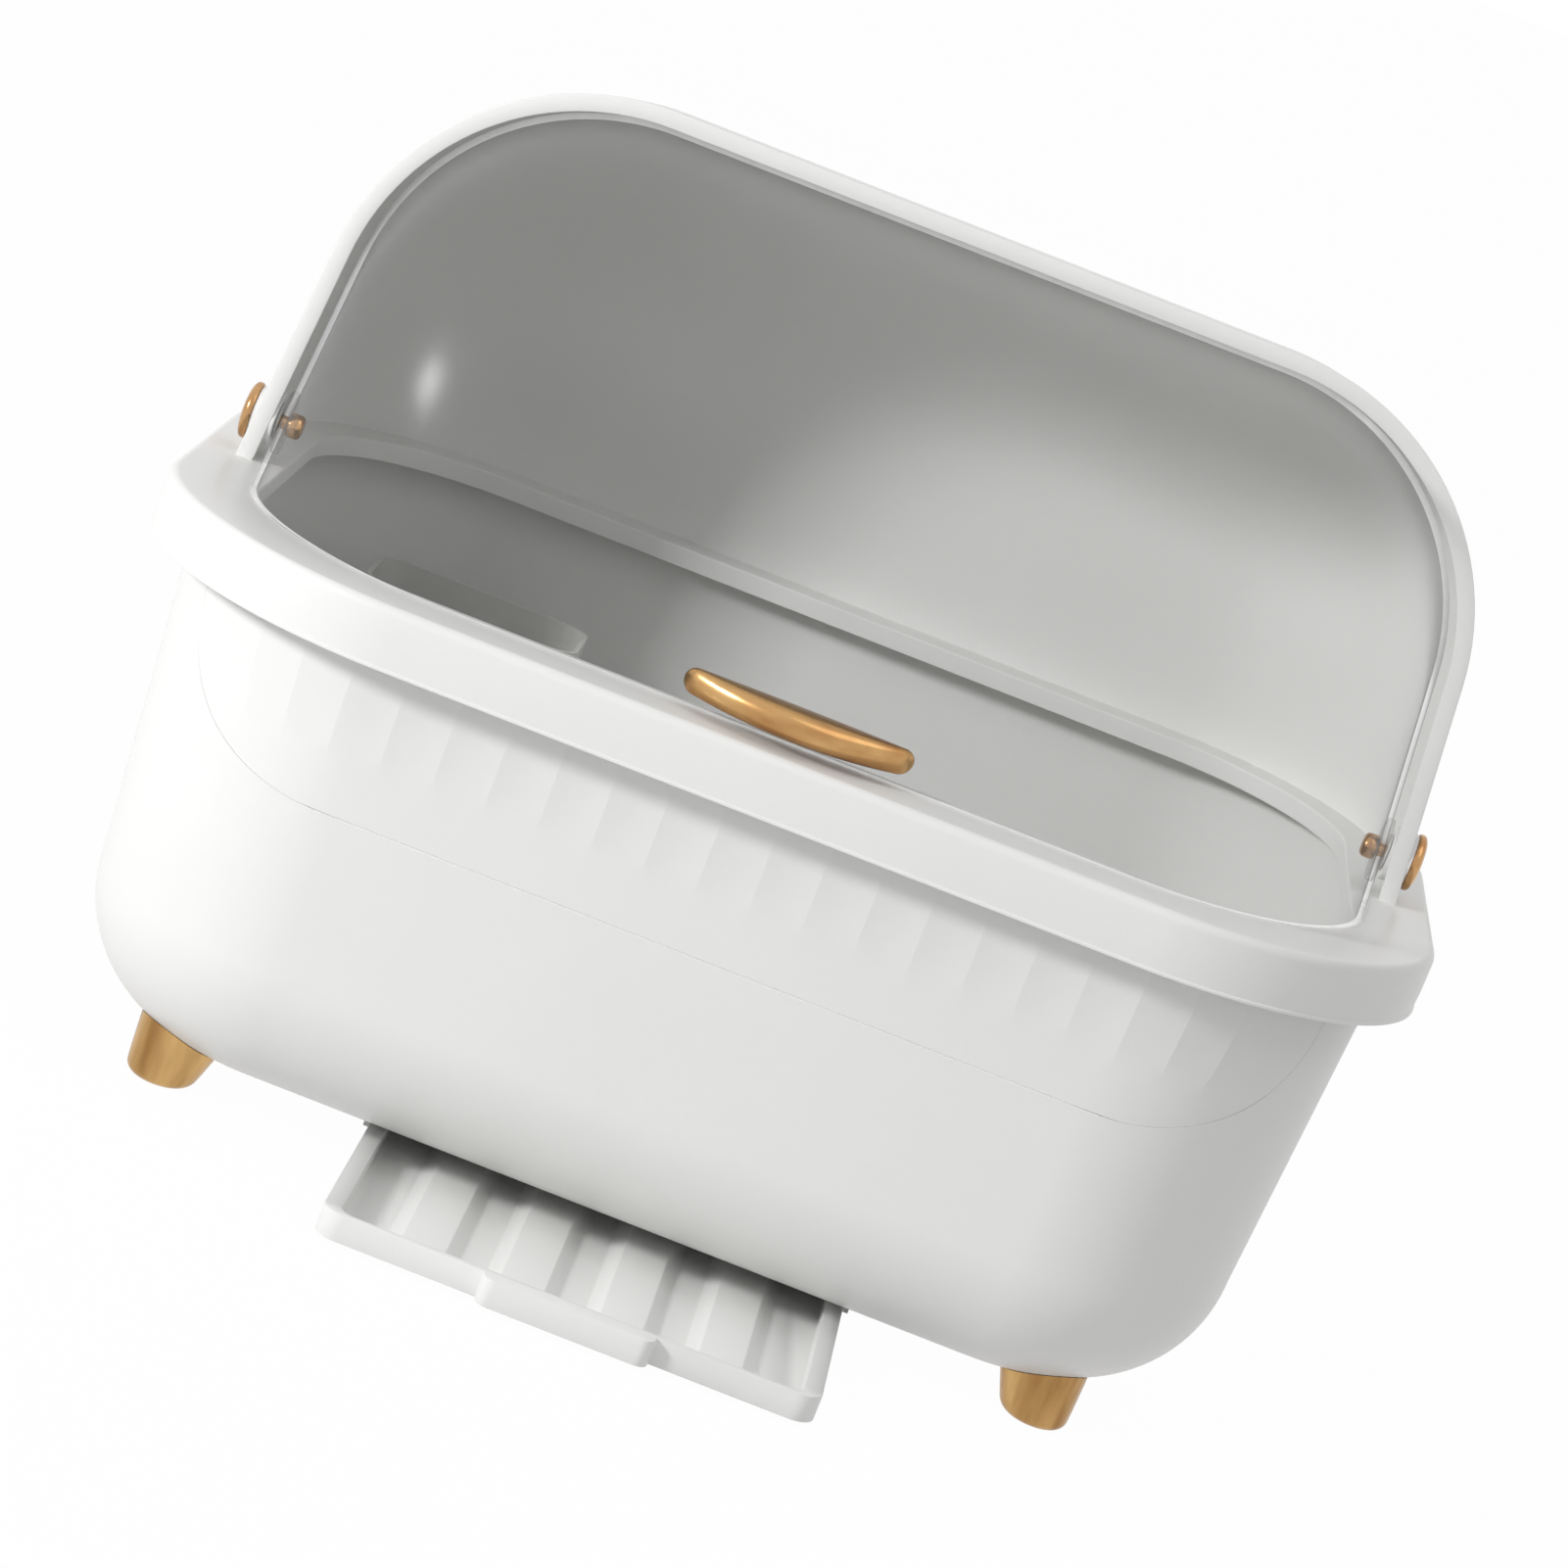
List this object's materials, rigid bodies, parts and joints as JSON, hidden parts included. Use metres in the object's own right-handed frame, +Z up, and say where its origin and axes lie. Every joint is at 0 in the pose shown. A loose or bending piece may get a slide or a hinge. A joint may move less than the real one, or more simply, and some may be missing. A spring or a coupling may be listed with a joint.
{
  "type": "covered dish drying box",
  "caption": "Lidded dish drying box: fluted tub on feet, rear hood, clear flip-up lid, inner drain rack with plate and cutlery holders, and a pull-out drip tray.",
  "frame": {"origin": "middle of the whole object seen from above, on the surface that it stands on, with the drip tray pulled out as in the picture", "axes": "+Z up, the lid and the drip tray face -Y, +X to the right of someone in front of it"},
  "size_m": [0.56, 0.422, 0.4453],
  "materials": {
    "shell_white": "satin white moulded plastic",
    "clear_plastic": "clear polished plastic",
    "inner_plastic": "light grey moulded plastic",
    "rose_gold_plate": "polished rose gold plating on plastic",
    "rose_gold_metal": "polished rose gold plate",
    "satin_gold_plate": "satin gold plating on plastic",
    "screw_steel": "plain steel"
  },
  "bodies": {
    "housing": {"tub": "shell_white", "rim_collar": "shell_white", "rear_hood": "shell_white", "hinge_pin_left": "rose_gold_metal", "hinge_pin_right": "rose_gold_metal", "hinge_nut_left": "rose_gold_metal", "hinge_nut_right": "rose_gold_metal", "hinge_washer_left": "inner_plastic", "hinge_washer_right": "inner_plastic", "foot_front_left": "satin_gold_plate", "foot_front_right": "satin_gold_plate", "foot_back_left": "satin_gold_plate", "foot_back_right": "satin_gold_plate", "foot_screws": "screw_steel", "tray_runner_left": "inner_plastic", "tray_runner_right": "inner_plastic", "runner_screws": "screw_steel"},
    "lid": {"clear_lid": "clear_plastic", "lid_handle": "rose_gold_plate", "handle_screws": "screw_steel"},
    "tray": {"drip_tray": "shell_white"},
    "rack": {"drain_rack": "inner_plastic"},
    "plates": {"plate_rack": "inner_plastic"},
    "caddy": {"cutlery_caddy": "inner_plastic"}
  },
  "joints": [
    {"name": "lid_hinge", "type": "hinge", "parent": "housing", "child": "lid", "pos_m": [0, 0.015, 0.2606], "axis": [-1, 0, 0], "range_deg": [0, 90]},
    {"name": "tray_slide", "type": "slide", "parent": "housing", "child": "tray", "axis": [0, -1, 0], "range_m": [-0.08, 0.06]},
    {"name": "rack_lift", "type": "slide", "parent": "housing", "child": "rack", "axis": [0, 0, 1], "range_m": [0, 0.06]},
    {"name": "plates_lift", "type": "slide", "parent": "rack", "child": "plates", "axis": [0, 0, 1], "range_m": [0, 0.06]},
    {"name": "caddy_lift", "type": "slide", "parent": "rack", "child": "caddy", "axis": [0, 0, 1], "range_m": [0, 0.05]}
  ]
}
